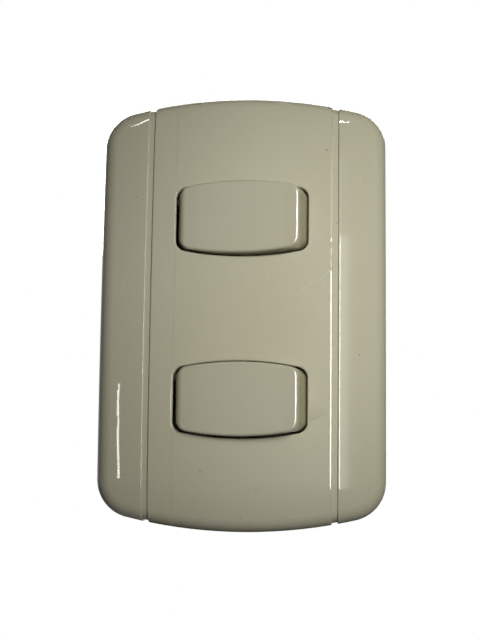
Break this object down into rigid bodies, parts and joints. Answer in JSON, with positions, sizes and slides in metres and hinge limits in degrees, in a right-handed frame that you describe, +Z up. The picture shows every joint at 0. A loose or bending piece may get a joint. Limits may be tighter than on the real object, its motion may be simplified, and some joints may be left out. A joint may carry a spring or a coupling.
{
  "type": "double light switch",
  "caption": "Moulded wall plate with arched ends and two shallow grooves, over a steel chassis with rocker switch modules, screw terminals behind.",
  "frame": {"origin": "middle of the cover plate on the wall, which is also the middle between the two screw slots of the chassis", "axes": "+X to the right and +Z up as seen by the user, +Y into the wall; the rockers face -Y"},
  "size_m": [0.0786, 0.0388, 0.12],
  "materials": {
    "plate_plastic": "gloss",
    "rocker_plastic": "gloss",
    "module_plastic": "matte",
    "plunger_plastic": "satin",
    "zinc_steel": "satin",
    "plated_steel": "satin",
    "spring_steel": "gloss",
    "terminal_brass": "satin",
    "contact_copper": "satin",
    "contact_silver": "satin"
  },
  "bodies": {
    "base": {"cover_plate": "plate_plastic", "mounting_chassis": "zinc_steel", "upper_bearing_frame": "module_plastic", "upper_base": "module_plastic", "upper_fixed_tip": "contact_silver", "upper_common_terminal": "terminal_brass", "upper_switched_terminal": "terminal_brass", "upper_clamp_plates": "plated_steel", "upper_terminal_screws": "plated_steel", "lower_bearing_frame": "module_plastic", "lower_base": "module_plastic", "lower_fixed_tip": "contact_silver", "lower_common_terminal": "terminal_brass", "lower_switched_terminal": "terminal_brass", "lower_clamp_plates": "plated_steel", "lower_terminal_screws": "plated_steel"},
    "upper_rocker": {"upper_rocker": "rocker_plastic", "upper_spring": "spring_steel"},
    "upper_plunger": {"upper_plunger": "plunger_plastic"},
    "upper_contact": {"upper_contact_bridge": "contact_copper", "upper_moving_tip": "contact_silver"},
    "lower_rocker": {"lower_rocker": "rocker_plastic", "lower_spring": "spring_steel"},
    "lower_plunger": {"lower_plunger": "plunger_plastic"},
    "lower_contact": {"lower_contact_bridge": "contact_copper", "lower_moving_tip": "contact_silver"}
  },
  "joints": [
    {"name": "upper_rocker_rock", "type": "hinge", "parent": "base", "child": "upper_rocker", "pos_m": [0.00015, -0.0065, 0.02465], "axis": [0, 0, 1], "range_deg": [0, 12]},
    {"name": "upper_contact_rock", "type": "hinge", "parent": "base", "child": "upper_contact", "pos_m": [0.00015, 0.00925, 0.02465], "axis": [0, 0, 1], "range_deg": [-16.8, 0]},
    {"name": "upper_plunger_slide", "type": "slide", "parent": "upper_rocker", "child": "upper_plunger", "axis": [0.1045, 0.9945, 0], "range_m": [0, 0.00027], "stiffness_N_per_m": 200, "springref_m": 0.005, "deforming": ["upper_spring"]},
    {"name": "lower_rocker_rock", "type": "hinge", "parent": "base", "child": "lower_rocker", "pos_m": [0.00015, -0.0065, -0.02465], "axis": [0, 0, 1], "range_deg": [0, 12]},
    {"name": "lower_contact_rock", "type": "hinge", "parent": "base", "child": "lower_contact", "pos_m": [0.00015, 0.00925, -0.02465], "axis": [0, 0, 1], "range_deg": [-16.8, 0]},
    {"name": "lower_plunger_slide", "type": "slide", "parent": "lower_rocker", "child": "lower_plunger", "axis": [0.1045, 0.9945, 0], "range_m": [0, 0.00027], "stiffness_N_per_m": 200, "springref_m": 0.005, "deforming": ["lower_spring"]}
  ],
  "couplings": [
    {"joint": "upper_contact_rock", "follows": "upper_rocker_rock", "ratio": -1.4},
    {"joint": "lower_contact_rock", "follows": "lower_rocker_rock", "ratio": -1.4}
  ]
}
